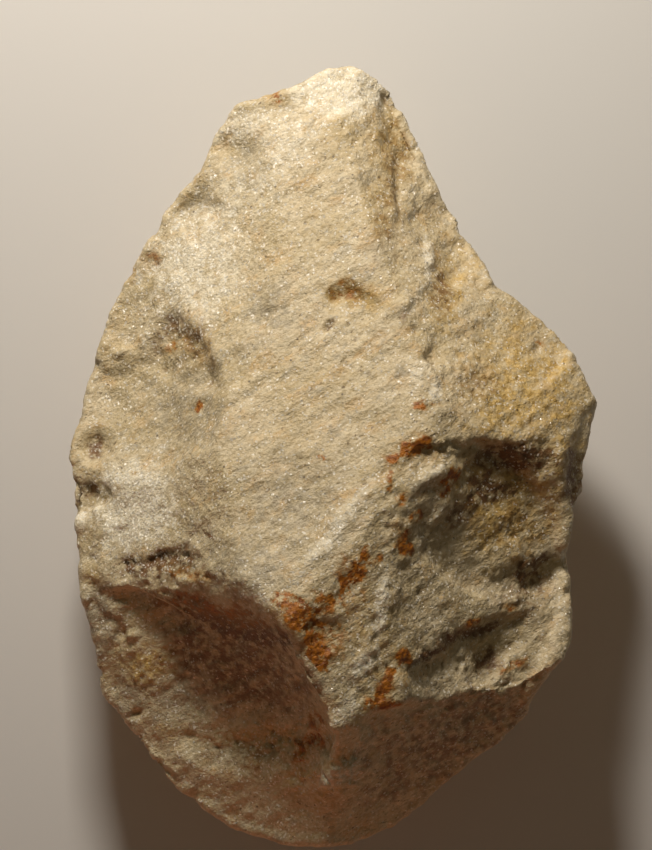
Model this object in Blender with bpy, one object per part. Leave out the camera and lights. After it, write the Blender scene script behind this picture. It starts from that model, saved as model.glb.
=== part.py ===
"""A knapped quartzite hand axe, lying on the flat remnant of its back.

Metres, +Z up, tip towards +Y. The stone is made as it was knapped: a slab with the
axe's outline, from which the scar of each flake is taken off in turn. Everything on
it is a share of its own size, in hundredths: across (of WIDTH, from the centre line,
+ to the right), along (of LENGTH, from the butt), height (of THICKNESS), and a scar's
own sizes (of LENGTH).
"""
import math
from collections import namedtuple

import bmesh
import bpy
from mathutils import Matrix, Vector
from mathutils.bvhtree import BVHTree

LENGTH = 0.095
WIDTH = 0.065
THICKNESS = 0.0375
# The edge between front and back is worn to a narrow band, not a knife line.
EDGE_BAND = 0.001
# Scars meet this far outside the outline, so that none shortens it.
EDGE_ROOM = 0.008 * LENGTH
# Spacing of the points on a dished scar, and the fewest spans a small one gets.
DISH_STEP = LENGTH / 32
FEWEST_SPANS = 6
# A bowl longer than this gets the finer ball.
LONG_BOWL = 0.13 * LENGTH
FINE_ROUNDS = 4
COARSE_ROUNDS = 3

STONE_COLOUR = (0.39, 0.30, 0.15, 1)
STONE_ROUGHNESS = 0.75

# The knapped edge, butt to tip: along, across and height of each corner.
LEFT_EDGE = [
    (0.0, -7.4, 40), (1.9, -17.7, 39), (7.8, -30.0, 40), (15.5, -39.1, 42),
    (19.6, -42.6, 43), (25.5, -43.6, 44), (32.2, -46.4, 47), (37.7, -46.6, 49),
    (41.9, -48.5, 46), (44.6, -47.7, 44), (49.0, -50.0, 41), (53.9, -47.0, 39),
    (60.3, -44.7, 38), (68.5, -41.1, 38), (75.5, -35.7, 38), (81.9, -30.0, 39),
    (86.4, -23.6, 41), (91.6, -20.9, 42), (95.0, -16.8, 42), (95.7, -12.6, 42),
    (97.4, -5.5, 42), (99.7, -0.4, 41), (100.0, 3.0, 41),
]
RIGHT_EDGE = [
    (0.0, 3.0, 40), (2.6, 12.5, 41), (7.2, 20.9, 42), (11.9, 28.1, 43),
    (13.4, 32.3, 44), (16.7, 36.6, 46), (19.0, 37.9, 48), (25.1, 44.5, 52),
    (28.4, 45.1, 53), (31.5, 45.7, 52), (37.0, 43.8, 50), (43.9, 45.7, 48),
    (45.7, 47.4, 48), (48.7, 47.5, 48), (56.7, 50.0, 49), (64.1, 44.7, 40),
    (67.3, 40.0, 40), (70.5, 33.6, 41), (71.2, 31.7, 42), (76.5, 27.0, 41),
    (78.4, 26.2, 40), (81.5, 23.0, 40), (82.6, 21.3, 39), (89.4, 17.0, 36),
    (96.1, 11.9, 36), (98.7, 9.6, 38),
]

# A large scar is a dish through three corners, hollow deep between them, cut by a
# round block that reaches this many times as far as the corners. A negative hollow
# swells instead. A small scar is a bowl, turned to its heading in degrees. Its bank
# is how far its middle stands off the face, from 0, upright sides, to 0.9, shallow.
Dish = namedtuple("Dish", "name corners hollow reach")
Bowl = namedtuple("Bowl", "name across along heading length width depth bank")


def spot(across, along, height):
    """A place on the stone, from shares in hundredths."""
    return Vector((
        across / 100 * WIDTH,
        (along / 100 - 0.5) * LENGTH,
        height / 100 * THICKNESS,
    ))


def on_edge(side, along):
    """The place just outside one side's edge at that share of the length."""
    for (low, x0, z0), (high, x1, z1) in zip(side, side[1:]):
        if along <= high:
            break
    t = min(1, (along - low) / (high - low))
    place = spot(x0 + t * (x1 - x0), along, z0 + t * (z1 - z0))
    outward = Vector((place.x, place.y, 0)).normalized()
    return place + outward * EDGE_ROOM


def left(along):
    return on_edge(LEFT_EDGE, along)


def right(along):
    return on_edge(RIGHT_EDGE, along)


FRONT_DISHES = [
    Dish("belly", (spot(5.5, 94.3, 50), spot(11.1, 46.8, 89), spot(-8.3, 30.2, 99)), -0.6, 2.2),
    Dish("left_flank", (left(94), left(75), spot(-9.2, 77.8, 62)), 0.6, 2.0),
    Dish("left_flank_low", (left(49), left(36), spot(-20.0, 42.0, 84)), 1.1, 1.7),
    Dish("left_fan", (spot(-28.1, 67.2, 54), left(56), spot(-22.1, 51.9, 75)), 2.5, 1.6),
    Dish("left_strip", (left(75), left(63), spot(-34.0, 67.0, 45)), 0.3, 1.1),
    Dish("tip_bevel", (left(98), right(98.9), spot(3.0, 93.5, 50)), 0.2, 1.7),
    Dish("tip_right", (spot(8.1, 98.3, 42), right(90), spot(7.0, 88.0, 56)), 0.3, 1.3),
    Dish("right_front", (spot(3.0, 85.5, 60), spot(14.7, 67.4, 73), right(82)), 0.3, 2.1),
    Dish("right_hinge", (spot(17.0, 74.5, 60), right(84.5), right(73.5)), 1.9, 1.6),
    Dish("shoulder", (spot(19.1, 66.1, 72), spot(20.9, 53.2, 83), right(57)), -0.6, 1.4),
    Dish("right_side", (spot(49.2, 55.8, 49), spot(44.3, 50.9, 61), spot(44.0, 41.6, 58)), 0, 2.2),
    Dish("crest_right", (spot(-8.3, 30.2, 99), spot(4.9, 15.5, 88), spot(10.6, 31.3, 89)), 0.3, 2.0),
    Dish("ridge_fall", (spot(11.1, 46.8, 89), spot(20.9, 18.9, 75), spot(32.3, 36.4, 64)), 0.4, 1.15),
    Dish("under_shoulder", (spot(21.9, 51.8, 83), spot(44.5, 51.8, 64), spot(33.2, 32.6, 60)), 0.8, 1.02),
    Dish("lobe", (right(34), right(27), spot(33.0, 29.5, 65)), 0.4, 1.8),
    Dish("heel_right", (spot(4.0, 15.8, 88), spot(40.6, 23.9, 63), right(6)), 0.2, 2.0),
    Dish("left_ledge", (left(46), left(32), spot(-40.4, 36.4, 56)), 0.4, 1.05),
    Dish("heel_facet", (left(28), left(17), spot(-22.0, 19.5, 61)), 0.4, 1.15),
    Dish("heel_left", (spot(-41.5, 29.0, 51), spot(6.3, 8.0, 101), spot(-23.5, -10.5, 46)), 3.5, 1.1),
    Dish("heel_bottom", (left(9), left(2), spot(-8.0, 7.5, 56)), 0.6, 1.8),
]
FRONT_BOWLS = [
    Bowl("heel_hollow", -16.5, 18.5, -50, 30.0, 25.0, 3.3, 0.45),
    Bowl("pitted_ledge", -31.0, 35.0, 8, 12.6, 4.8, 1.2, 0.3),
    Bowl("left_nick_high", -25.5, 82.2, 10, 8.4, 4.2, 0.6, 0.5),
    Bowl("left_nick_top", -18.0, 89.0, -35, 8.4, 5.8, 0.5, 0.6),
    Bowl("step", 25.7, 23.5, 27, 20.0, 7.9, 1.3, 0.3),
    Bowl("side_notch", 41.0, 34.4, 20, 7.4, 3.7, 1.5, 0.3),
    Bowl("step_corner", 30.9, 22.9, 75, 6.3, 3.7, 1.0, 0.3),
    Bowl("edge_pit", -43.0, 50.8, 80, 5.0, 3.4, 1.0, 0.3),
    Bowl("edge_steps", -44.0, 44.6, 90, 4.7, 3.2, 1.0, 0.2),
]
# Each scar of the back runs from the edge to the flat that the stone lies on.
BACK_DISHES = [
    Dish("back_tip", (left(99.5), right(96), spot(1, 63, 0)), 0.8, 2.0),
    Dish("back_left_1", (left(90), left(76), spot(-7, 57, 0)), 1.1, 1.6),
    Dish("back_left_2", (left(74), left(58), spot(-12, 50, 0)), 1.3, 1.6),
    Dish("back_left_3", (left(54), left(42), spot(-15, 41, 0)), 0.8, 1.6),
    Dish("back_left_4", (left(38), left(22), spot(-16, 32, 0)), 1.1, 1.6),
    Dish("back_butt_left", (left(18), left(4), spot(-9, 24, 0)), 0.8, 1.6),
    Dish("back_butt", (left(0.2), right(5), spot(1, 21, 0)), 0.6, 1.6),
    Dish("back_butt_right", (right(7), right(18), spot(11, 24, 0)), 1.1, 1.6),
    Dish("back_right_1", (right(23), right(35), spot(17, 32, 0)), 1.1, 1.6),
    Dish("back_right_2", (right(42), right(55), spot(18, 43, 0)), 0.8, 1.6),
    Dish("back_right_3", (right(59), right(69), spot(12, 52, 0)), 1.1, 1.6),
    Dish("back_right_4", (right(75), right(92), spot(6, 59, 0)), 1.3, 1.6),
]


def new_object(name, bm, collection):
    mesh = bpy.data.meshes.new(name)
    bm.to_mesh(mesh)
    bm.free()
    made = bpy.data.objects.new(name, mesh)
    collection.objects.link(made)
    return made


def slab(collection):
    """The blank: the axe's outline, as thick as the finished stone."""
    corners = [spot(x, y, 0) for y, x, _ in LEFT_EDGE]
    corners += [spot(x, y, 0) for y, x, _ in reversed(RIGHT_EDGE)]
    bm = bmesh.new()
    face = bm.faces.new([bm.verts.new(c) for c in corners])
    grown = bmesh.ops.extrude_face_region(bm, geom=[face])["geom"]
    top = [v for v in grown if isinstance(v, bmesh.types.BMVert)]
    bmesh.ops.translate(bm, verts=top, vec=(0, 0, THICKNESS))
    bmesh.ops.recalc_face_normals(bm, faces=bm.faces)
    return new_object("hand_axe", bm, collection)


def facing(along, normal, place):
    """A frame at place with its Z along normal and its X as near as can be to along."""
    forward = (along - normal * along.dot(normal)).normalized()
    frame = Matrix((forward, normal.cross(forward), normal)).transposed().to_4x4()
    frame.translation = place
    return frame


def circumradius(a, b, c):
    return (a - b).length * (b - c).length * (c - a).length / (2 * (b - a).cross(c - a).length)


def dish_cutter(dish, outward, collection):
    """A round block whose inner face is the scar's dish."""
    band = outward * EDGE_BAND / 2
    a, b, c = (dish.corners[0] + band, dish.corners[1] + band, dish.corners[2])
    normal = (b - a).cross(c - a).normalized()
    if normal.dot(outward) < 0:
        normal.negate()
    frame = facing(c - (a + b) / 2, normal, (a + b + c) / 3)
    flat = [frame.inverted() @ corner for corner in (a, b, c)]
    curve = 2 * dish.hollow / 100 * LENGTH / circumradius(a, b, c) ** 2
    drop = Vector([-curve / 2 * corner.length_squared for corner in flat])
    level, slope_u, slope_v = Matrix([(1, p.x, p.y) for p in flat]).inverted() @ drop
    radius = max(corner.length for corner in flat) * dish.reach
    spans = max(FEWEST_SPANS, round(2 * radius / DISH_STEP))
    bm = bmesh.new()
    bmesh.ops.create_grid(bm, x_segments=spans, y_segments=spans, size=1)
    for v in bm.verts:
        u = radius * v.co.x * math.sqrt(1 - v.co.y ** 2 / 2)
        w = radius * v.co.y * math.sqrt(1 - v.co.x ** 2 / 2)
        v.co = (u, w, curve / 2 * (u * u + w * w) + level + slope_u * u + slope_v * w)
    lid = max(v.co.z for v in bm.verts) + THICKNESS
    rim = [e for e in bm.edges if e.is_boundary]
    wall = bmesh.ops.extrude_edge_only(bm, edges=rim)["geom"]
    for part in wall:
        if isinstance(part, bmesh.types.BMVert):
            part.co.z = lid
    lid_rim = [part for part in wall if isinstance(part, bmesh.types.BMEdge)]
    bmesh.ops.edgeloop_fill(bm, edges=lid_rim)
    bmesh.ops.recalc_face_normals(bm, faces=bm.faces)
    cutter = new_object(dish.name, bm, collection)
    cutter.matrix_world = frame
    return cutter


def bowl_cutter(bowl, stone, collection):
    """A squashed ball, laid on the stone's front where the scar goes."""
    bm = bmesh.new()
    bm.from_mesh(stone.data)
    tree = BVHTree.FromBMesh(bm)
    bm.free()
    length, width, depth = (share / 100 * LENGTH for share in (bowl.length, bowl.width, bowl.depth))
    turn = math.radians(bowl.heading)
    ahead = Vector((math.cos(turn), math.sin(turn), 0))
    aside = Vector((-ahead.y, ahead.x, 0))
    middle = spot(bowl.across, bowl.along, 0) + Vector((0, 0, 2 * THICKNESS))
    steps = (Vector(), ahead * length / 4, -ahead * length / 4, aside * width / 4, -aside * width / 4)
    found = [tree.ray_cast(middle + step, Vector((0, 0, -1))) for step in steps]
    place, normal = found[0][:2]
    if all(hit[0] for hit in found):
        normal = (found[1][0] - found[2][0]).cross(found[3][0] - found[4][0]).normalized()
    half_height = depth / (1 - bowl.bank)
    spread = 2 * math.sqrt(1 - bowl.bank ** 2)
    size = Matrix.Diagonal((length / spread, width / spread, half_height, 1))
    lift = Matrix.Translation((0, 0, bowl.bank * half_height))
    rounds = FINE_ROUNDS if length > LONG_BOWL else COARSE_ROUNDS
    bm = bmesh.new()
    bmesh.ops.create_icosphere(bm, subdivisions=rounds, radius=1, matrix=lift @ size)
    cutter = new_object(bowl.name, bm, collection)
    cutter.matrix_world = facing(ahead, normal, place)
    return cutter


def take_off(stone, cutter):
    """Removes the cutter's flake from the stone."""
    cutter.hide_render = True
    cutter.display_type = "WIRE"
    flake = stone.modifiers.new("flake", "BOOLEAN")
    flake.operation = "DIFFERENCE"
    flake.solver = "EXACT"
    flake.object = cutter
    graph = bpy.context.evaluated_depsgraph_get()
    whole = stone.data
    stone.data = bpy.data.meshes.new_from_object(stone.evaluated_get(graph))
    stone.modifiers.remove(flake)
    bpy.data.meshes.remove(whole)
    cutter.hide_set(True)


def stone_material():
    stone = bpy.data.materials.new("quartzite")
    stone.use_nodes = True
    surface = stone.node_tree.nodes["Principled BSDF"]
    surface.inputs["Base Color"].default_value = STONE_COLOUR
    surface.inputs["Roughness"].default_value = STONE_ROUGHNESS
    surface.inputs["Metallic"].default_value = 0
    return stone


def new_collection(name):
    made = bpy.data.collections.new(name)
    bpy.context.scene.collection.children.link(made)
    return made


def knap():
    for old in list(bpy.data.objects):
        bpy.data.objects.remove(old)
    cutters = new_collection("cutters")
    stone = slab(new_collection("hand_axe"))
    for dishes, up in ((FRONT_DISHES, 1), (BACK_DISHES, -1)):
        for dish in dishes:
            take_off(stone, dish_cutter(dish, Vector((0, 0, up)), cutters))
    for bowl in FRONT_BOWLS:
        take_off(stone, bowl_cutter(bowl, stone, cutters))
    stone.data.name = "hand_axe"
    stone.data.materials.clear()
    stone.data.materials.append(stone_material())


knap()
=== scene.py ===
"""The visible stone of a knapped quartzite hand axe, lying on its back under soft light.

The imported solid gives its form. A fine skin over it carries what a flake leaves on
quartzite: steps, ripples, pits, crushed crests and a sugary grain. Places on the front
are given as they stand in the picture, in its pixels, and sizes in millimetres.
"""
import math
from collections import namedtuple

import bmesh
import bpy
import numpy as np
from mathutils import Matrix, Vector, kdtree, noise


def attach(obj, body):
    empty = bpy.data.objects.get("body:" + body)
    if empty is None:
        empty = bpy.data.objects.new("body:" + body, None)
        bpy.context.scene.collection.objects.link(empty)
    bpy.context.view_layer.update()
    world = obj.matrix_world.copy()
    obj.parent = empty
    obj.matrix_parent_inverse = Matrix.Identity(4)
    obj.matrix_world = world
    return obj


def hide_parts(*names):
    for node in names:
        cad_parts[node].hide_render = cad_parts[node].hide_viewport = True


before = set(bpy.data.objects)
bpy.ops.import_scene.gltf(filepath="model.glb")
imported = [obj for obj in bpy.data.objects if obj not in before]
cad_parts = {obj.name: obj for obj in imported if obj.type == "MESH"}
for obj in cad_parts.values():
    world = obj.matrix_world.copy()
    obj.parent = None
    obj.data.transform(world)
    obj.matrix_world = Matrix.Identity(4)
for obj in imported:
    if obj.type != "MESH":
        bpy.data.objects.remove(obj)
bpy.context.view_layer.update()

MM = 0.001
PICTURE_WIDE = 652
PICTURE_HIGH = 850
# Where the middle of the axe stands in the picture, and how large the axe is in it.
MIDDLE_U = 329
MIDDLE_V = 455
PIXELS_PER_METRE = 8150
# The knapped edge, where that scale holds, and the camera, straight above.
EDGE_HEIGHT = 16 * MM
CAMERA_HEIGHT = 0.9
# What evening out the skin takes off a thin edge, in millimetres.
EDGE_LOST = 0.35
# The skin's own edge: points that face sideways, this near to the outline seen from above.
EDGE_FACING = 0.35
EDGE_ROOM = 1.6 * MM
OUTLINE_WAYS = 360
CAMERA_X = (PICTURE_WIDE / 2 - MIDDLE_U) / PIXELS_PER_METRE
CAMERA_Y = (MIDDLE_V - PICTURE_HIGH / 2) / PIXELS_PER_METRE

PIXELS_PER_MM = PIXELS_PER_METRE * MM

# The skin's mesh: fine enough for the relief where it shows, thinned on the back. The back
# is what faces down at least this steeply, below the edge.
GRAIN_GRID = 0.33 * MM
BACK_SHARE = 0.14
BACK_FACING = -0.25

# Rounds of easing: of the whole skin, of the scars' borders inside the edge, of the borders
# that wear has rounded, and of the marks once they are added.
FIRST_ROUNDS = 2
BORDER_ROUNDS = 9
WORN_ROUNDS = 54
MARK_ROUNDS = 1

# A step's cliff is this wide, and this much wider for each millimetre of its drop. A lip
# of this share of the drop stands along its top.
CLIFF_LEAST = 0.4
CLIFF_SHARE = 1.8
LIP_SHARE = 0.1

# How far the noise leads a mark's line astray, in pixels: in broad waves and in small ones.
BROAD_STRAY = 5.0
SMALL_STRAY = 2.2

# Heights of the relief that lies over whole faces and along the edge, in millimetres.
BROAD_SWELL = 0.26
SMALL_SWELL = 0.18
GRAIN_HEIGHT = 0.06
RIPPLE_HEIGHT = 0.17
EDGE_WAVES = 0.15
EDGE_NIBBLES = 1.0
# The stone's beds climb to the right across the face, in degrees, and a flake's ripples
# climb with them.
BEDS_CLIMB = 35
# Heights above or below their surroundings, in millimetres, that colour the stone in full:
# a painted highlight on what stands proud, and painted shade in what lies hollow.
PROUD_HIGHLIGHT_HEIGHT = 0.35
HOLLOW_SHADE_DEPTH = 0.3

# What the blows and the wear left on the front. A step is a line whose right-hand side
# lies lower by drop and climbs back over fall. A crest is a raised line, and a groove a
# sunk one. A dent is a shallow oval, or a swelling where its depth is negative.
Step = namedtuple("Step", "places drop fall")
Crest = namedtuple("Crest", "places height width")
Dent = namedtuple("Dent", "u v long wide heading depth")
# An oval part of the front, for its roughness or its colour.
Patch = namedtuple("Patch", "u v long wide heading strength")

TIP = [
    Step([(427, 168), (412, 163), (400, 164)], 0.3, 3.5),
    Step([(405, 322), (413, 300), (425, 281), (430, 262), (427, 240)], 0.45, 6.0),
    Step([(403, 322), (430, 327), (450, 333), (465, 330), (480, 322), (502, 318)], 0.5, 4.5),
    Step([(400, 240), (392, 180), (383, 145), (381, 110), (378, 76)], 1.0, 9.0),
    Crest([(427, 238), (431, 262), (424, 285), (412, 303), (404, 322)], 0.4, 1.6),
    Crest([(396, 162), (400, 196), (398, 236)], -0.3, 0.6),
    Crest([(441, 271), (462, 281), (486, 289), (500, 290)], -0.4, 0.8),
    Dent(238, 152, 6.0, 4.6, 10, 0.6),
    Dent(446, 272, 6.0, 4.0, 30, 0.3),
    Dent(300, 130, 9.0, 5.0, 20, -0.3),
]
LEFT_SIDE = [
    Step([(166, 214), (186, 201), (205, 199), (226, 204)], 0.6, 4.0),
    Step([(140, 258), (151, 254), (164, 260)], 0.45, 3.5),
    Step([(163, 260), (158, 276), (154, 300), (146, 323), (139, 344), (130, 359)], 0.6, 4.5),
    Step([(90, 366), (105, 371), (121, 371), (134, 362), (142, 350)], 0.6, 3.0),
    Step([(132, 362), (150, 339), (163, 322), (174, 313), (185, 320), (198, 335), (210, 352),
          (220, 373), (217, 402)], 1.5, 7.0),
    Crest([(206, 380), (203, 420), (198, 470), (203, 540)], 0.3, 2.4),
    Dent(94, 447, 5.6, 4.2, 70, 0.7),
    Dent(66, 462, 2.0, 2.0, 0, -0.4),
    Step([(66, 476), (80, 482), (99, 486), (113, 490)], 1.0, 3.0),
    Crest([(98, 486), (99, 500), (97, 516)], 0.5, 0.4),
    Step([(108, 500), (113, 520), (112, 536), (116, 556), (113, 576), (110, 592)], -0.9, 3.5),
    Dent(122, 352, 3.0, 1.6, 20, -0.45),
    Dent(84, 522, 3.0, 2.2, 60, -0.5),
]
LEDGE = [
    Step([(112, 560), (135, 556), (160, 551), (181, 546), (192, 551), (202, 563), (212, 575),
          (228, 583)], 0.3, 4.0),
    Dent(126, 565, 2.6, 2.0, 60, 0.4),
    Dent(150, 563, 2.6, 1.8, 30, 0.3),
    Dent(165, 572, 14.0, 3.4, 5, -0.5),
]
HEEL = [
    Step([(126, 586), (150, 588), (172, 590), (215, 599), (241, 605), (263, 617), (286, 629),
          (303, 650), (312, 668), (321, 686), (336, 706), (350, 724)], 0.3, 5.0),
    Crest([(158, 605), (172, 630), (186, 660), (200, 690), (216, 720)], -0.4, 2.2),
    Crest([(180, 625), (197, 655), (214, 690), (228, 716)], 0.45, 1.6),
    Step([(96, 597), (108, 610), (122, 619)], 0.5, 2.5),
    Step([(128, 600), (124, 622), (114, 640), (104, 650)], -0.6, 2.5),
    Dent(119, 631, 3.6, 1.8, 80, 0.7),
    Dent(131, 637, 2.6, 1.6, 20, -0.5),
    Dent(133, 715, 2.4, 1.6, 50, 0.5),
    Step([(112, 722), (136, 727), (160, 734), (186, 730), (206, 739), (226, 741)], 0.4, 4.5),
    Dent(262, 742, 14.0, 4.0, 5, 0.3),
    Dent(328, 776, 12.0, 6.0, 15, -0.6),
    Dent(318, 742, 5.0, 3.0, 30, 0.5),
]
BELLY = [
    Step([(316, 309), (327, 294), (338, 284), (350, 282), (362, 289), (374, 298), (387, 307)],
         0.8, 5.0),
    Step([(240, 404), (268, 370), (298, 335), (318, 306)], 0.25, 5.0),
    Step([(338, 366), (350, 352), (362, 350), (373, 359)], 0.25, 3.0),
    Dent(329, 324, 2.4, 1.0, 55, 0.6),
    Dent(345, 297, 7.0, 3.2, 0, 0.3),
    Dent(270, 320, 7.0, 5.0, 30, 0.2),
    Dent(300, 500, 14.0, 9.0, 60, 0.3),
]
CREST = [
    Step([(289, 603), (305, 572), (330, 547), (347, 528), (368, 500), (381, 470), (388, 448)],
         0.3, 6.0),
    Crest([(290, 600), (305, 570), (330, 546), (347, 527), (368, 499), (384, 470)], 0.2, 2.4),
    Crest([(404, 505), (395, 545), (386, 590), (381, 628), (366, 660), (351, 690)], 0.4, 1.6),
    Crest([(446, 454), (432, 468), (418, 482), (399, 501)], 0.4, 0.6),
    Dent(437, 352, 4.6, 3.6, 40, 0.8),
    Crest([(426, 358), (433, 375), (440, 397), (446, 420)], 0.5, 1.0),
    Dent(345, 590, 6.0, 4.0, 60, 0.3),
    Dent(322, 630, 6.0, 3.6, 120, 0.4),
]
SHOULDER = [
    Step([(462, 441), (486, 438), (504, 440), (522, 441), (544, 440), (566, 448)], 0.4, 5.0),
    Step([(516, 588), (531, 573), (545, 561), (566, 551)], 0.5, 4.0),
    Step([(397, 674), (414, 664), (431, 658), (450, 641), (479, 626), (501, 620), (531, 604)],
         0.9, 4.5),
    Step([(471, 690), (473, 664), (480, 650), (500, 642), (520, 636)], 1.0, 4.0),
    Step([(350, 722), (384, 711), (402, 705), (440, 698), (470, 690), (500, 681), (521, 668),
          (545, 657), (562, 660)], 0.9, 4.0),
    Crest([(545, 600), (549, 630), (556, 655)], 0.3, 1.2),
    Dent(504, 352, 3.0, 2.0, 70, 0.35),
    Dent(541, 350, 3.4, 1.6, 110, 0.3),
    Dent(482, 380, 4.0, 3.0, 20, 0.3),
    Dent(500, 560, 7.0, 5.0, 30, -0.5),
    Dent(450, 590, 6.0, 4.0, 60, -0.3),
    Dent(428, 492, 15.0, 9.0, 54, -0.8),
    Dent(446, 458, 9.0, 6.0, 40, -0.7),
]
FRONT_MARKS = TIP + LEFT_SIDE + LEDGE + HEEL + BELLY + CREST + SHOULDER

# Where wear has rounded the borders between scars.
WORN = [
    Patch(492, 520, 24.0, 24.0, 0, 1.0),
    Patch(140, 470, 24.0, 8.0, 10, 1.0),
    Patch(246, 150, 10.0, 8.0, 0, 1.0),
    Patch(200, 210, 10.0, 8.0, 0, 1.0),
    Patch(160, 290, 10.0, 14.0, 0, 1.0),
    Patch(180, 345, 18.0, 20.0, 0, 1.0),
    Patch(500, 440, 22.0, 9.0, 0, 0.8),
    Patch(165, 567, 16.0, 6.0, 4, 1.0),
    Patch(555, 570, 7.0, 9.0, 0, 1.0),
    Patch(235, 680, 34.0, 26.0, 0, 1.0),
    Patch(470, 640, 28.0, 20.0, 20, 1.0),
    Patch(545, 500, 6.0, 26.0, 0, 1.0),
    Patch(470, 240, 16.0, 14.0, 0, 0.9),
    Patch(330, 785, 22.0, 14.0, 0, 1.0),
    Patch(380, 130, 8.0, 14.0, 0, 0.8),
    Patch(335, 98, 20.0, 8.0, 0, 1.0),
    Patch(165, 330, 14.0, 12.0, 0, 1.0),
    Patch(95, 500, 6.0, 12.0, 0, 1.0),
    Patch(96, 448, 8.0, 6.0, 0, 1.0),
    Patch(425, 290, 8.0, 14.0, 0, 0.7),
    Patch(440, 480, 18.0, 20.0, 0, 1.0),
    Patch(192, 606, 12.0, 6.0, -25, 1.0),
]

# How deep the crumbly spots are, in millimetres.
ROUGH_PATCHES = [
    Patch(165, 568, 15.0, 5.6, 4, 0.34),
    Patch(150, 672, 8.0, 6.0, 0, 0.22),
    Patch(265, 745, 16.0, 7.0, 5, 0.34),
    Patch(330, 775, 10.0, 6.0, 10, 0.34),
    Patch(505, 500, 16.0, 20.0, 0, 0.17),
    Patch(430, 545, 11.0, 17.0, 0, 0.14),
    Patch(370, 655, 11.0, 14.0, 0, 0.17),
    Patch(470, 650, 19.0, 9.0, 20, 0.26),
    Patch(460, 375, 13.0, 12.0, 0, 0.24),
    Patch(520, 400, 13.0, 12.0, 0, 0.18),
    Patch(310, 640, 7.0, 10.0, 0, 0.26),
    Patch(105, 560, 5.0, 15.0, 0, 0.18),
    Patch(520, 590, 9.0, 8.0, 0, 0.26),
    Patch(345, 150, 12.0, 10.0, 0, 0.14),
    Patch(400, 560, 10.0, 14.0, 0, 0.18),
    Patch(470, 740, 24.0, 12.0, 30, 0.12),
    Patch(345, 310, 6.0, 5.0, 0, 0.2),
]

# Iron oxide left by ground water.
RUST = [
    Patch(410, 450, 6.6, 2.6, 22, 1.0),
    Patch(395, 457, 3.0, 2.0, 30, 0.9),
    Patch(405, 453, 11.0, 5.0, 25, 0.4),
    Patch(420, 406, 3.0, 2.0, 0, 0.9),
    Patch(432, 404, 2.0, 1.4, 0, 0.5),
    Patch(449, 474, 3.4, 2.0, 40, 0.8),
    Patch(443, 492, 2.2, 1.4, 40, 0.7),
    Patch(390, 479, 3.4, 1.4, 80, 0.7),
    Patch(415, 516, 3.0, 2.2, 50, 0.75),
    Patch(403, 533, 2.6, 2.0, 0, 0.7),
    Patch(405, 546, 3.6, 3.0, 0, 0.9),
    Patch(362, 566, 6.0, 3.0, 70, 1.0),
    Patch(350, 582, 4.6, 2.8, 35, 0.8),
    Patch(356, 572, 11.0, 6.0, 60, 0.42),
    Patch(320, 459, 1.5, 1.1, 0, 0.8),
    Patch(299, 616, 8.0, 4.4, -38, 1.1),
    Patch(313, 640, 7.6, 3.4, -66, 1.1),
    Patch(318, 660, 4.0, 2.0, -60, 0.95),
    Patch(325, 605, 11.0, 5.0, 15, 0.55),
    Patch(330, 640, 8.0, 8.0, 0, 0.42),
    Patch(404, 656, 3.2, 2.8, 55, 0.8),
    Patch(391, 675, 3.4, 2.2, 60, 0.7),
    Patch(382, 691, 4.6, 2.4, 60, 0.9),
    Patch(371, 703, 3.2, 2.0, 30, 0.75),
    Patch(392, 706, 4.4, 1.8, 5, 0.8),
    Patch(386, 690, 9.0, 6.0, 50, 0.4),
    Patch(511, 607, 2.0, 1.6, 0, 0.7),
    Patch(473, 622, 4.0, 1.6, 20, 0.6),
    Patch(508, 668, 8.0, 1.4, 25, 0.5),
    Patch(199, 407, 2.6, 1.5, 75, 0.65),
    Patch(277, 101, 3.4, 2.0, 20, 0.75),
    Patch(152, 257, 4.4, 2.0, -10, 0.4),
    Patch(348, 290, 7.0, 3.2, -12, 0.4),
    Patch(540, 343, 3.4, 3.4, 60, 0.5),
    Patch(308, 743, 6.0, 3.4, 0, 0.55),
    Patch(300, 758, 3.0, 2.0, 0, 0.5),
    Patch(315, 722, 4.6, 2.8, 60, 0.5),
    Patch(169, 343, 5.0, 3.4, 45, 0.42),
    Patch(443, 478, 4.0, 2.2, 50, 0.8),
    Patch(400, 498, 3.0, 1.6, 60, 0.6),
    Patch(378, 560, 3.4, 2.0, 60, 0.5),
    Patch(190, 575, 8.0, 3.0, -10, 0.4),
    Patch(215, 610, 20.0, 4.0, -15, 0.45),
]
# Ochre that dusts whole scars.
OCHRE = [
    Patch(525, 390, 18.0, 22.0, 0, 0.8),
    Patch(565, 450, 6.0, 16.0, 0, 0.7),
    Patch(505, 500, 15.0, 18.0, 0, 0.9),
    Patch(485, 250, 12.0, 14.0, 0, 0.45),
    # The next patch tints the facet right of the tip darker, partly its golden tint and partly painted shade.
    Patch(396, 150, 7.0, 24.0, -8, 0.7),
    Patch(356, 292, 9.0, 4.0, -6, 0.9),
    Patch(446, 290, 6.0, 12.0, 0, 0.8),
    Patch(185, 335, 9.0, 7.0, -30, 0.7),
    Patch(340, 120, 18.0, 9.0, 10, 0.3),
    Patch(380, 640, 10.0, 14.0, 0, 0.5),
    Patch(150, 665, 8.0, 7.0, 0, 0.7),
    Patch(270, 745, 16.0, 7.0, 0, 0.5),
    Patch(300, 420, 18.0, 20.0, 0, 0.2),
    Patch(320, 780, 12.0, 6.0, 10, 0.6),
    Patch(95, 575, 3.0, 4.0, 0, 0.5),
    Patch(110, 330, 8.0, 12.0, 0, 0.3),
]
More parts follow.
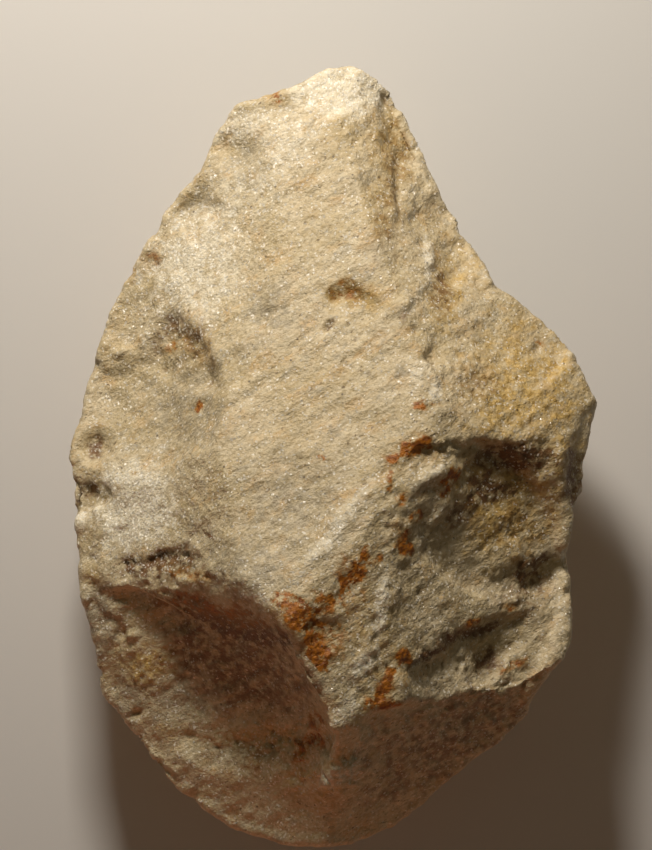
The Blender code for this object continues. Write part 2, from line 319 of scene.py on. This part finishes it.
# Where the grey stone shows through its tan weathering.
GREY = [
    Patch(268, 312, 10.0, 7.0, 30, 0.7),
    Patch(250, 345, 7.0, 4.0, 40, 0.6),
    Patch(185, 410, 13.0, 14.0, 0, 0.65),
    Patch(290, 500, 18.0, 13.0, 30, 0.6),
    Patch(245, 565, 16.0, 9.0, -10, 0.7),
    Patch(365, 275, 6.0, 4.0, 0, 0.6),
    Patch(380, 255, 5.0, 5.0, 0, 0.5),
    Patch(428, 520, 9.0, 13.0, 0, 0.5),
    Patch(500, 385, 5.0, 4.0, 0, 0.4),
    Patch(450, 590, 12.0, 12.0, 0, 0.4),
    Patch(400, 620, 10.0, 9.0, 0, 0.6),
    Patch(430, 690, 14.0, 4.0, 15, 0.5),
    Patch(100, 620, 6.0, 12.0, 0, 0.9),
    Patch(190, 690, 14.0, 12.0, 0, 0.7),
    Patch(130, 690, 6.0, 9.0, 0, 0.7),
    Patch(335, 90, 8.0, 3.0, -10, 0.35),
    # The next patch darkens the facet right of the tip: painted shade.
    Patch(398, 118, 7.0, 12.0, -12, 0.4),
    Patch(246, 165, 8.0, 7.0, 0, 0.6),
    Patch(195, 206, 7.0, 3.0, 20, 0.7),
    Patch(535, 345, 4.0, 5.0, 60, 0.5),
    Patch(330, 545, 10.0, 5.0, 50, 0.4),
    Patch(190, 265, 9.0, 9.0, 0, 0.5),
    Patch(455, 420, 8.0, 6.0, 0, 0.4),
]
# Bruised and weathered pale, and painted glare where the light shines off the upper left,
# the tip and some lit crests.
PALE_AND_GLARE = [
    Patch(335, 530, 22.0, 2.6, 52, 0.5),
    Patch(380, 605, 12.0, 1.8, 85, 0.7),
    Patch(365, 662, 7.0, 2.6, 55, 0.8),
    Patch(345, 712, 5.0, 3.0, 60, 0.6),
    Patch(419, 372, 5.0, 2.6, 70, 0.4),
    Patch(435, 394, 4.0, 1.6, 80, 0.7),
    Patch(427, 262, 8.0, 1.6, 95, 0.7),
    Patch(412, 304, 5.0, 1.4, 60, 0.6),
    Patch(424, 475, 7.0, 1.0, 40, 0.6),
    Patch(340, 88, 15.0, 8.0, 0, 1.0),
    Patch(195, 268, 14.0, 22.0, -20, 0.6),
    Patch(245, 125, 10.0, 5.0, 20, 0.6),
    Patch(285, 140, 12.0, 9.0, 30, 0.5),
    Patch(135, 508, 12.0, 14.0, 0, 1.0),
    Patch(250, 190, 12.0, 9.0, 30, 0.4),
    Patch(82, 522, 3.0, 2.4, 60, 0.8),
    Patch(335, 775, 9.0, 3.0, 20, 0.6),
    Patch(262, 600, 8.0, 1.4, -20, 0.4),
]
# Brown soil packed into the hollows and the dark stain round it, and painted shade on the
# facets, notches and cracks that face away from the light, such as the butt's scoop.
SOIL_AND_SHADE = [
    Patch(163, 563, 14.0, 4.6, 6, 0.75),
    Patch(182, 562, 4.6, 3.0, 10, 0.6),
    Patch(95, 448, 3.6, 2.4, 80, 0.7),
    Patch(88, 490, 4.6, 2.6, 0, 0.7),
    Patch(163, 332, 8.0, 2.0, 55, 0.5),
    Patch(186, 335, 9.0, 6.0, -40, 0.5),
    Patch(205, 350, 9.0, 3.0, -60, 0.35),
    Patch(352, 289, 8.0, 2.8, -8, 0.6),
    Patch(330, 325, 2.4, 1.0, 55, 0.9),
    Patch(398, 160, 6.0, 28.0, -8, 0.36),
    Patch(525, 590, 10.0, 9.0, 0, 0.45),
    Patch(442, 290, 3.6, 9.0, 0, 0.5),
    Patch(516, 458, 12.0, 5.0, 0, 0.9),
    Patch(488, 492, 7.0, 5.0, 0, 0.8),
    Patch(458, 515, 5.0, 5.0, 0, 0.6),
    Patch(520, 520, 11.0, 14.0, 0, 0.35),
    Patch(535, 566, 8.0, 2.6, 35, 1.0),
    Patch(470, 634, 12.0, 2.0, 15, 0.8),
    Patch(430, 655, 7.0, 1.8, 30, 0.8),
    Patch(490, 662, 5.0, 4.0, 20, 0.7),
    Patch(230, 625, 24.0, 5.0, -20, 0.9),
    Patch(207, 534, 3.4, 0.5, -42, 0.9),
    Patch(190, 640, 8.0, 12.0, 0, 0.6),
    Patch(240, 655, 22.0, 16.0, -35, 0.55),
    Patch(290, 690, 8.0, 14.0, -60, 0.45),
    Patch(310, 610, 6.0, 3.0, 20, 0.5),
    Patch(405, 546, 3.0, 2.6, 0, 0.8),
    Patch(250, 757, 20.0, 4.0, 0, 0.4),
    Patch(120, 735, 10.0, 3.0, -30, 0.6),
    Patch(450, 740, 36.0, 13.0, 28, 0.45),
    Patch(572, 480, 3.0, 12.0, 0, 0.6),
    Patch(404, 318, 5.0, 2.0, 80, 0.4),
    Patch(478, 380, 8.0, 6.0, 0, 0.35),
]
STAINS = {"rust": RUST, "ochre": OCHRE, "grey": GREY, "pale_and_glare": PALE_AND_GLARE, "soil_and_shade": SOIL_AND_SHADE}


def linear(hex_colour):
    """An sRGB hex colour as the linear one that shaders use."""
    shares = [int(hex_colour[i:i + 2], 16) / 255 for i in (1, 3, 5)]
    return tuple(c / 12.92 if c <= 0.04045 else ((c + 0.055) / 1.055) ** 2.4 for c in shares) + (1,)


def smooth(low, high, values):
    """0 below low, 1 above high, and an eased rise between."""
    t = np.clip((values - low) / (high - low), 0, 1)
    return t * t * (3 - 2 * t)


# The skin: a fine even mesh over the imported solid

def applied(skin):
    graph = bpy.context.evaluated_depsgraph_get()
    skin.data = bpy.data.meshes.new_from_object(skin.evaluated_get(graph))
    skin.modifiers.clear()


def fine_skin(node):
    bm = bmesh.new()
    bm.from_mesh(node.data)
    bmesh.ops.remove_doubles(bm, verts=bm.verts, dist=0.001 * MM)
    mesh = bpy.data.meshes.new("stone")
    bm.to_mesh(mesh)
    bm.free()
    skin = bpy.data.objects.new("stone", mesh)
    bpy.context.scene.collection.objects.link(skin)
    even = skin.modifiers.new("even_grid", "REMESH")
    even.mode = "VOXEL"
    even.voxel_size = GRAIN_GRID
    even.use_smooth_shade = True
    applied(skin)
    back = skin.vertex_groups.new(name="back")
    places = np.empty(len(skin.data.vertices) * 3)
    normals = np.empty(len(skin.data.vertices) * 3)
    skin.data.vertices.foreach_get("co", places)
    skin.data.vertices.foreach_get("normal", normals)
    facing_down = (normals[2::3] < BACK_FACING) & (places[2::3] < EDGE_HEIGHT)
    back.add([int(i) for i in np.flatnonzero(facing_down)], 1.0, "REPLACE")
    thin = skin.modifiers.new("thin_back", "DECIMATE")
    thin.ratio = 1 - (1 - BACK_SHARE) * facing_down.mean()
    thin.vertex_group = "back"
    applied(skin)
    skin.vertex_groups.clear()
    return skin


class Skin:
    """The skin's points, and the sums that its relief is worked out from."""

    def __init__(self, mesh):
        self.mesh = mesh
        self.count = len(mesh.vertices)
        self.co = np.empty(self.count * 3)
        mesh.vertices.foreach_get("co", self.co)
        self.co = self.co.reshape(-1, 3)
        ends = np.empty(len(mesh.edges) * 2, int)
        mesh.edges.foreach_get("vertices", ends)
        self.ends = ends.reshape(-1, 2)
        self.shared = np.bincount(ends, minlength=self.count).clip(1)
        self.base = self.co.copy()

    def around(self, values):
        """Each point's mean over its neighbours."""
        a, b = self.ends.T
        total = np.bincount(a, values[b], self.count) + np.bincount(b, values[a], self.count)
        return total / self.shared

    def ease(self, values, rounds):
        for _ in range(rounds):
            values = (values + self.around(values)) / 2
        return values

    def eased_places(self, rounds):
        return np.stack([self.ease(self.co[:, k], rounds) for k in range(3)], axis=1)

    def read_normals(self):
        self.mesh.vertices.foreach_set("co", self.co.ravel())
        self.mesh.update()
        normals = np.empty(self.co.size)
        self.mesh.vertices.foreach_get("normal", normals)
        self.normals = normals.reshape(-1, 3)

    def read_places(self):
        """Where each point stands in the picture, and how far it faces the camera."""
        scale = PIXELS_PER_METRE * (CAMERA_HEIGHT - EDGE_HEIGHT) / (CAMERA_HEIGHT - self.co[:, 2])
        self.u = PICTURE_WIDE / 2 + (self.co[:, 0] - CAMERA_X) * scale
        self.v = PICTURE_HIGH / 2 - (self.co[:, 1] - CAMERA_Y) * scale
        self.front = smooth(-0.05, 0.15, self.normals[:, 2])

    def read_edge(self):
        """How far each point is from the worn edge, in millimetres."""
        turns = np.arctan2(self.co[:, 1], self.co[:, 0]) / math.tau + 0.5
        ways = (turns * (OUTLINE_WAYS - 1)).astype(int)
        out = np.hypot(self.co[:, 0], self.co[:, 1])
        outline = np.zeros(OUTLINE_WAYS)
        np.maximum.at(outline, ways, out)
        sideways = np.abs(self.normals[:, 2]) < EDGE_FACING
        side = np.flatnonzero(sideways & (out > outline[ways] - EDGE_ROOM))
        tree = kdtree.KDTree(len(side))
        for i in side:
            tree.insert(self.co[i], int(i))
        tree.balance()
        self.inset = np.array([tree.find(place)[2] for place in self.co]) / MM

    def raise_by(self, heights):
        """Moves each point out along its normal, by that many millimetres."""
        self.co += self.normals * (heights * MM)[:, None]

    def noise(self, size, seed, octaves=1, rough=0.5):
        """Noise of about -1 to 1 with spots of that size in millimetres."""
        grid = self.base / (size * MM) + seed * 17.3
        if octaves == 1:
            return np.array([noise.noise(p) for p in grid])
        dim = -math.log2(rough)
        return np.array([noise.fractal(p, dim, 2.0, octaves) for p in grid])


def curve_through(places, spans=5):
    """The places joined by an even curve instead of by straight lines."""
    p = np.array([places[0]] + list(places) + [places[-1]], float)
    curve = []
    for a, b, c, d in zip(p, p[1:], p[2:], p[3:]):
        for t in np.arange(spans) / spans:
            curve.append(0.5 * (2 * b + (c - a) * t + (2 * a - 5 * b + 4 * c - d) * t * t
                                + (3 * b - a - 3 * c + d) * t ** 3))
    return np.array(curve + [p[-1]])


def along(u, v, places):
    """Each point's distance from the line in mm, + on its right, and its share of the way."""
    curve = curve_through(places)
    ways = np.diff(curve, axis=0)
    lengths = np.hypot(ways[:, 0], ways[:, 1])
    walked = np.concatenate([[0], np.cumsum(lengths)])
    nearest = np.full(len(u), np.inf)
    side = np.ones(len(u))
    share = np.zeros(len(u))
    for (u0, v0), (du, dv), length, start in zip(curve, ways, lengths, walked):
        t = np.clip(((u - u0) * du + (v - v0) * dv) / length ** 2, 0, 1)
        off_u = u - u0 - t * du
        off_v = v - v0 - t * dv
        distance = np.hypot(off_u, off_v)
        near = distance < nearest
        nearest = np.where(near, distance, nearest)
        side = np.where(near, np.sign(off_v * du - off_u * dv), side)
        share = np.where(near, (start + t * length) / walked[-1], share)
    return nearest * side / PIXELS_PER_MM, share


def oval(u, v, mark):
    """Distance from an oval's middle, as a share of its rim's."""
    turn = math.radians(mark.heading)
    ahead = (u - mark.u) * math.cos(turn) - (v - mark.v) * math.sin(turn)
    aside = (u - mark.u) * math.sin(turn) + (v - mark.v) * math.cos(turn)
    return np.hypot(ahead / (mark.long / 2), aside / (mark.wide / 2)) / PIXELS_PER_MM


def mark_heights(mark, u, v, lively):
    """What one mark adds to the height, in millimetres. Lively is noise that keeps it uneven."""
    if isinstance(mark, Dent):
        return -mark.depth * (1 - smooth(0.25, 1.1, oval(u, v, mark) + 0.25 * lively))
    distance, share = along(u, v, mark.places)
    ends = smooth(0, 0.12, share) * (1 - smooth(0.88, 1, share))
    if isinstance(mark, Crest):
        return mark.height * ends * (1 + 0.6 * lively) * np.exp(-(distance / mark.width) ** 2)
    cliff = CLIFF_LEAST + CLIFF_SHARE * abs(mark.drop)
    climb = np.exp(-np.maximum(distance, 0) / mark.fall)
    below = smooth(-0.3 * cliff, 0.7 * cliff, distance) * climb
    lip = LIP_SHARE * np.exp(-((distance + cliff) / cliff) ** 2)
    return mark.drop * ends * (1 + 0.4 * lively) * (lip - below)


def mark_reach(mark):
    """The picture's box that a mark can change, in pixels."""
    if isinstance(mark, Dent):
        room = mark.long * PIXELS_PER_MM
        return mark.u - room, mark.v - room, mark.u + room, mark.v + room
    room = 4 * PIXELS_PER_MM * (mark.fall if isinstance(mark, Step) else mark.width)
    us, vs = zip(*mark.places)
    return min(us) - room, min(vs) - room, max(us) + room, max(vs) + room


def front_heights(skin):
    """All the front's marks, with their lines led a little astray as real ones are."""
    u = skin.u + BROAD_STRAY * skin.noise(3.5, 11) + SMALL_STRAY * skin.noise(1.2, 12)
    v = skin.v + BROAD_STRAY * skin.noise(3.5, 13) + SMALL_STRAY * skin.noise(1.2, 14)
    lively = skin.noise(1.6, 15, 2)
    heights = np.zeros(skin.count)
    for mark in FRONT_MARKS:
        left, top, right, bottom = mark_reach(mark)
        near = (u > left) & (u < right) & (v > top) & (v < bottom) & (skin.front > 0)
        heights[near] += mark_heights(mark, u[near], v[near], lively[near])
    return heights * skin.front


def patches(skin, spots, astray=1.0):
    """The strongest of the patches at each point, with ragged rims."""
    ragged = astray * 0.5 * (skin.noise(2.5, 21, 3) + skin.noise(0.9, 22))
    value = np.zeros(skin.count)
    for spot in spots:
        away = oval(skin.u, skin.v, spot) + ragged
        value = np.maximum(value, spot.strength * (1 - smooth(0.2, 1.3, away)))
    return value * skin.front


def carve(skin):
    """Rounds the solid's borders as the stone's are, then adds all that is finer."""
    skin.co = skin.eased_places(FIRST_ROUNDS)
    skin.read_normals()
    skin.read_places()
    skin.read_edge()
    inside = smooth(0.3, 1.8, skin.inset)
    skin.co += (skin.eased_places(BORDER_ROUNDS) - skin.co) * inside[:, None]
    worn = patches(skin, WORN, 0.4) * smooth(0.8, 3.0, skin.inset)
    skin.co += (skin.eased_places(WORN_ROUNDS) - skin.co) * worn[:, None]
    skin.base = skin.co.copy()
    skin.read_normals()
    skin.read_places()
    swell = BROAD_SWELL * skin.noise(9, 1, 2) + SMALL_SWELL * skin.noise(3.4, 2, 2)
    skin.raise_by(swell + front_heights(skin))
    skin.co = skin.eased_places(MARK_ROUNDS)
    skin.read_normals()
    crumbs = skin.noise(0.8, 5, 3) - 0.5 * np.abs(skin.noise(1.5, 6))
    grain = GRAIN_HEIGHT * skin.noise(0.7, 7, 2)
    # Ripples are low ridges, nearly three times as long as they are wide.
    turn = math.radians(BEDS_CLIMB)
    lean = np.array([math.cos(turn), math.sin(turn)])
    slant = skin.base[:, :2] @ np.array([-lean[1], lean[0]]) / MM
    run = skin.base[:, :2] @ lean / MM
    ripples = np.array([noise.noise((a / 1.2, b / 3.4, 3.7)) for a, b in zip(slant, run)])
    ripples *= RIPPLE_HEIGHT * skin.front
    # The edge is nibbled by small blows and by use.
    nibbles = EDGE_WAVES * skin.noise(1.3, 8)
    nibbles -= EDGE_NIBBLES * np.maximum(0, skin.noise(2.8, 9, 2) - 0.2)
    edge = (1 - smooth(0.2, 1.8, skin.inset)) * (EDGE_LOST + nibbles)
    skin.raise_by(patches(skin, ROUGH_PATCHES) * crumbs + grain + ripples + edge)
    # Nothing goes below the surface that it lies on.
    skin.co[:, 2] = np.maximum(skin.co[:, 2], 0)
    skin.read_normals()


def colour(skin):
    """Keeps how much of each stain, painted glare and painted shade each point has, and how raised or hollow
    it is.
    """
    for name, spots in STAINS.items():
        keep(skin.mesh, name, patches(skin, spots, 0.7))
    proud_and_highlight = ((skin.co - skin.eased_places(BORDER_ROUNDS)) * skin.normals).sum(axis=1) / MM
    keep(skin.mesh, "proud_and_highlight", smooth(0.0, PROUD_HIGHLIGHT_HEIGHT, proud_and_highlight))
    keep(skin.mesh, "hollow", smooth(0.0, HOLLOW_SHADE_DEPTH, -proud_and_highlight))


def keep(mesh, name, values):
    mesh.attributes.new(name, "FLOAT", "POINT").data.foreach_set("value", values)


stone = fine_skin(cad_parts["hand_axe"])
skin = Skin(stone.data)
carve(skin)
colour(skin)


def new_material(name):
    made = bpy.data.materials.new(name)
    made.use_nodes = True
    made.node_tree.nodes.clear()
    return made


def add(tree, kind, settings=None, sockets=None):
    """Adds a node with its settings. Each socket gets a value, a hex colour or a link."""
    made = tree.nodes.new(kind)
    for name, value in (settings or {}).items():
        setattr(made, name, value)
    for name, value in (sockets or {}).items():
        if isinstance(value, bpy.types.NodeSocket):
            tree.links.new(value, made.inputs[name])
        else:
            made.inputs[name].default_value = linear(value) if isinstance(value, str) else value
    return made


# A Mix node of colours has these numbers for its share, its two colours and its result.
SHARE = 0
UNDER = 6
OVER = 7
MIXED = 2
COLOURS = {"data_type": "RGBA"}
EASED = {"interpolation_type": "SMOOTHSTEP"}
PRODUCT = {"operation": "MULTIPLY"}
PRODUCT_AND_SUM = {"operation": "MULTIPLY_ADD"}


def quartzite():
    """Weathered quartzite: fused sand, flaked by hard blows, tan outside and rusty where water sat.

    Up close, sugary grains of grey, tan and cream that glint as the light moves. From afar, a
    matt tan stone with greyer, yellower and rustier parts.
    """
    made = new_material("quartzite")
    tree = made.node_tree

    def tinted(under, pattern, low, high, over, most=1.0):
        """A colour with up to most of another over it, as the pattern goes from low to high."""
        share = add(tree, "ShaderNodeMapRange", EASED,
                    {"Value": pattern, "From Min": low, "From Max": high, "To Max": most})
        laid = {SHARE: share.outputs["Result"], UNDER: under, OVER: over}
        return add(tree, "ShaderNodeMix", COLOURS, laid).outputs[MIXED]

    place = add(tree, "ShaderNodeTexCoord").outputs["Object"]
    # Some patterns are drawn out along the stone's beds.
    drawn = add(tree, "ShaderNodeMapping", {"vector_type": "TEXTURE"}, {
        "Vector": place,
        "Rotation": (0, 0, math.radians(BEDS_CLIMB)),
        "Scale": (1.6, 1, 1),
    }).outputs["Vector"]

    # Cloudy patterns, each with the size of its spots in mm, its detail and its roughness.
    cloudy = {
        "weather": (place, 6.0, 3.0, 0.5),
        "honey": (drawn, 2.2, 3.0, 0.6),
        "ash": (drawn, 1.7, 3.0, 0.6),
        "pores": (drawn, 0.5, 2.0, 0.6),
        "ragged": (place, 1.1, 4.0, 0.65),
        "rust": (place, 0.6, 3.0, 0.5),
        "pits": (place, 0.35, 3.0, 0.65),
        "ridges": (drawn, 0.6, 3.0, 0.6),
    }
    cloud = {}
    for name, (at, size, detail, roughness) in cloudy.items():
        cloud[name] = add(tree, "ShaderNodeTexNoise", None, {
            "Vector": at,
            "Scale": 1 / (size * MM),
            "Detail": detail,
            "Roughness": roughness,
        }).outputs["Fac"]

    # Patterns of separate cells, with their size in mm. Quartz sand of one or two tenths of
    # a millimetre wouldn't show, so its grains and their faces are drawn coarser.
    celled = {"sand": (drawn, 0.3), "faces": (place, 0.22), "specks": (place, 2.3)}
    cells = {}
    for name, (at, size) in celled.items():
        cells[name] = add(tree, "ShaderNodeTexVoronoi", None, {
            "Vector": at,
            "Scale": 1 / (size * MM),
            "Randomness": 1.0,
        })
    tone = add(tree, "ShaderNodeSeparateColor", None, {"Color": cells["sand"].outputs["Color"]})
    red = tone.outputs["Red"]
    green = tone.outputs["Green"]
    blue = tone.outputs["Blue"]

    # What the skin's points know of stains, painted glare and shade, and relief, whole and broken
    # up by a finer pattern.
    ragged = add(tree, "ShaderNodeMapRange", EASED, {
        "Value": cloud["ragged"],
        "From Min": 0.32,
        "From Max": 0.62,
        "To Min": 0.35,
        "To Max": 1.5,
    }).outputs["Result"]
    known = {}
    for name in (*STAINS, "proud_and_highlight", "hollow"):
        known[name] = add(tree, "ShaderNodeAttribute", {"attribute_name": name}).outputs["Fac"]
    broken = {}
    for name in (*STAINS, "hollow"):
        broken[name] = add(tree, "ShaderNodeMath", PRODUCT, {0: known[name], 1: ragged}).outputs["Value"]

    # Tan sand in many tones, with dark dirt in the pores between the grains.
    body = tinted("#CBB892", cloud["weather"], 0.35, 0.65, "#BDA97F")
    body = tinted(body, cloud["honey"], 0.5, 0.72, "#C79F60", 0.6)
    body = tinted(body, cloud["ash"], 0.44, 0.3, "#9C927C", 0.6)
    body = tinted(body, red, 0.15, 0.85, "#E4D8BA", 0.35)
    body = tinted(body, green, 0.6, 0.95, "#8F7F5E", 0.35)
    body = tinted(body, cloud["pores"], 0.36, 0.27, "#6E5B3E", 0.75)
    body = tinted(body, broken["grey"], 0.0, 1.2, tinted("#998C72", red, 0.0, 1.0, "#B5A88C"))
    body = tinted(body, broken["ochre"], 0.0, 1.3, tinted("#AC8A45", green, 0.0, 1.0, "#D6B671"))

    # Where it is bruised or painted with glare, only some of the grains are turned white.
    bruise_and_glare = add(tree, "ShaderNodeMapRange", EASED,
                 {"Value": broken["pale_and_glare"], "From Min": 0.05, "From Max": 0.9})
    some = add(tree, "ShaderNodeMapRange", EASED, {"Value": blue, "To Min": 0.6})
    white_and_glare = add(tree, "ShaderNodeMath", PRODUCT, {0: bruise_and_glare.outputs["Result"], 1: some.outputs["Result"]})
    body = add(tree, "ShaderNodeMix", COLOURS,
               {SHARE: white_and_glare.outputs["Value"], UNDER: body, OVER: "#EADFC4"}).outputs[MIXED]

    # What stands proud is paler, partly rubbed clean and partly a painted highlight; hollows are
    # darker, partly soil and partly painted shade.
    body = tinted(body, known["proud_and_highlight"], 0.2, 1.0, "#DCCDAA", 0.4)
    body = tinted(body, broken["hollow"], 0.1, 1.0, "#75592F", 0.6)
    # Soil in the hollows, and painted shade on facets, notches and cracks that face away from the light.
    body = tinted(body, broken["soil_and_shade"], 0.05, 0.95, tinted("#543A1E", cloud["ragged"], 0.35, 0.65, "#775530"))

    # Rust spreads as a yellow-brown halo round its darker, orange middle.
    body = tinted(body, broken["rust"], 0.05, 0.9, "#A98440", 0.85)
    rust = add(tree, "ShaderNodeMapRange", EASED,
               {"Value": broken["rust"], "From Min": 0.28, "From Max": 0.85}).outputs["Result"]
    middle = tinted("#80460A", cloud["rust"], 0.38, 0.62, "#B06A0E")
    body = add(tree, "ShaderNodeMix", COLOURS, {SHARE: rust, UNDER: body, OVER: middle}).outputs[MIXED]

    # Dark mineral specks, one in a few millimetres.
    body = tinted(body, cells["specks"].outputs["Distance"], 0.09, 0.04, "#4A4238", 0.7)

    # Most grains are matt, and about one in twenty is a clean face that glints. There are
    # more where the stone is bruised or painted with glare, and none under rust.
    luck = add(tree, "ShaderNodeSeparateColor", None, {"Color": cells["faces"].outputs["Color"]})
    fresh = add(tree, "ShaderNodeMath", PRODUCT_AND_SUM,
                {0: known["pale_and_glare"], 1: 0.27, 2: luck.outputs["Blue"]})
    glinting = add(tree, "ShaderNodeMapRange", EASED,
                   {"Value": fresh.outputs["Value"], "From Min": 0.92, "From Max": 0.96})
    bare = add(tree, "ShaderNodeMapRange", EASED,
               {"Value": rust, "From Max": 0.5, "To Min": 1.0, "To Max": 0.0})
    clean = add(tree, "ShaderNodeMath", PRODUCT,
                {0: glinting.outputs["Result"], 1: bare.outputs["Result"]}).outputs["Value"]
    # Clean grains are also half turned near-white, a painted glint over their real shine.
    glint_paint = add(tree, "ShaderNodeMath", PRODUCT, {0: clean, 1: 0.5})
    body = add(tree, "ShaderNodeMix", COLOURS,
               {SHARE: glint_paint.outputs["Value"], UNDER: body, OVER: "#FBF7EC"}).outputs[MIXED]
    rough = add(tree, "ShaderNodeMapRange", EASED, {"Value": clean, "To Min": 0.5, "To Max": 0.16})

    # Each grain leans its own way, the clean ones most, on top of the worn and pitted surface.
    tilt = add(tree, "ShaderNodeVectorMath", {"operation": "SUBTRACT"},
               {0: cells["faces"].outputs["Color"], 1: (0.5, 0.5, 0.5)})
    lean = add(tree, "ShaderNodeMapRange", EASED, {"Value": clean, "To Min": 0.16, "To Max": 0.8})
    leaning = add(tree, "ShaderNodeVectorMath", {"operation": "SCALE"},
                  {0: tilt.outputs[0], "Scale": lean.outputs["Result"]})
    pits = add(tree, "ShaderNodeMath", PRODUCT_AND_SUM, {0: cloud["ridges"], 1: 1.6, 2: cloud["pits"]})
    worn = add(tree, "ShaderNodeBump", None,
               {"Strength": 1.0, "Distance": 0.15 * MM, "Height": pits.outputs["Value"]})
    facets = add(tree, "ShaderNodeVectorMath", {"operation": "ADD"},
                 {0: worn.outputs["Normal"], 1: leaning.outputs[0]})
    upright = add(tree, "ShaderNodeVectorMath", {"operation": "NORMALIZE"}, {0: facets.outputs[0]})
    surface = add(tree, "ShaderNodeBsdfPrincipled", None, {
        "Base Color": body,
        "Roughness": rough.outputs["Result"],
        "IOR": 1.54,
        "Normal": upright.outputs[0],
    })
    add(tree, "ShaderNodeOutputMaterial", None, {"Surface": surface.outputs["BSDF"]})
    return made


stone.data.materials.clear()
stone.data.materials.append(quartzite())
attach(stone, "root")
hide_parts("hand_axe")


# The floor, the light and the camera

def floor_paper():
    """Uncoated pale paper, as it comes off the roll: quite matt, with no grain to be seen."""
    made = new_material("floor_paper")
    tree = made.node_tree
    surface = add(tree, "ShaderNodeBsdfPrincipled", None, {"Base Color": "#D8D6D2", "Roughness": 0.9})
    add(tree, "ShaderNodeOutputMaterial", None, {"Surface": surface.outputs["BSDF"]})
    return made


def floor():
    bm = bmesh.new()
    bmesh.ops.create_grid(bm, x_segments=1, y_segments=1, size=2)
    mesh = bpy.data.meshes.new("floor")
    bm.to_mesh(mesh)
    bm.free()
    made = bpy.data.objects.new("floor", mesh)
    bpy.context.scene.collection.objects.link(made)
    mesh.materials.append(floor_paper())


def lamp(name, azimuth, elevation, distance, size, watts, colour):
    light = bpy.data.lights.new(name, "AREA")
    light.energy = watts
    light.size = size
    light.color = linear(colour)[:3]
    made = bpy.data.objects.new(name, light)
    bpy.context.scene.collection.objects.link(made)
    made.visible_camera = False
    az = math.radians(azimuth)
    el = math.radians(elevation)
    away = Vector((math.cos(az) * math.cos(el), math.sin(az) * math.cos(el), math.sin(el)))
    made.location = away * distance
    made.rotation_euler = (-made.location).to_track_quat("-Z", "Y").to_euler()


def light_and_camera():
    lamp("key", 101, 38, 0.25, 0.05, 0.58, "#FFF6EA")
    lamp("fill", -60, 60, 1.2, 1.0, 0.12, "#FFF2E0")
    # A low warm light that reaches only the shaded butt.
    lamp("warm_fill", -105, 9, 0.4, 0.1, 0.16, "#FF8850")
    world = bpy.data.worlds.new("studio")
    bpy.context.scene.world = world
    world.use_nodes = True
    sky = world.node_tree.nodes["Background"]
    sky.inputs["Color"].default_value = linear("#EAD6B4")
    sky.inputs["Strength"].default_value = 0.08
    lens = bpy.data.cameras.new("camera")
    lens.sensor_fit = "VERTICAL"
    lens.sensor_height = 24
    lens.lens = PIXELS_PER_METRE * (CAMERA_HEIGHT - EDGE_HEIGHT) * lens.sensor_height / PICTURE_HIGH
    lens.clip_start = 0.01
    lens.clip_end = 10
    camera = bpy.data.objects.new("camera", lens)
    camera.location = (CAMERA_X, CAMERA_Y, CAMERA_HEIGHT)
    bpy.context.scene.collection.objects.link(camera)
    bpy.context.scene.camera = camera
    bpy.context.scene.view_settings.view_transform = "Standard"


floor()
light_and_camera()
